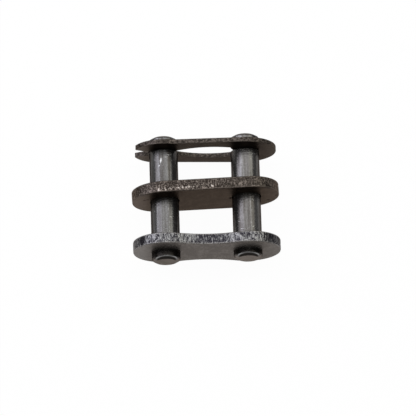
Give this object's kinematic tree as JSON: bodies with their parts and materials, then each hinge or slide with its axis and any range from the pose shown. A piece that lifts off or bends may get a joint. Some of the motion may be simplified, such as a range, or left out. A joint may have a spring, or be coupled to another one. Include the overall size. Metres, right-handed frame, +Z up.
{
  "type": "roller chain connecting link",
  "caption": "Connecting link for a roller chain: a waisted outer plate with pressed-in pins, a slip-fit cover plate and a spring clip that locks it.",
  "frame": {"origin": "on the surface the link lies on, under the middle of its box", "axes": "+X along the plates from the clip's open end to its closed end, +Y along the pins from the outer plate to the clip, +Z up"},
  "size_m": [0.023, 0.0202, 0.0102],
  "materials": {
    "outer_plate_steel": "dark heat-treated steel, torn bright blanked edges",
    "pin_steel": "smooth grey case-hardened steel",
    "cover_plate_steel": "brown-black oxide, speckled blanked edges",
    "clip_steel": "brown-black oxide spring steel"
  },
  "bodies": {
    "link": {"outer_plate": "outer_plate_steel", "left_pin": "pin_steel", "right_pin": "pin_steel"},
    "cover": {"cover_plate": "cover_plate_steel"},
    "clip": {"spring_clip": "clip_steel"}
  },
  "joints": [
    {"name": "cover_slide", "type": "slide", "parent": "link", "child": "cover", "axis": [0, 1, 0], "range_m": [-0.0063, 0.0054]},
    {"name": "clip_slide", "type": "slide", "parent": "link", "child": "clip", "axis": [1, 0, 0], "range_m": [0, 0.00612], "deforming": ["spring_clip"]}
  ]
}
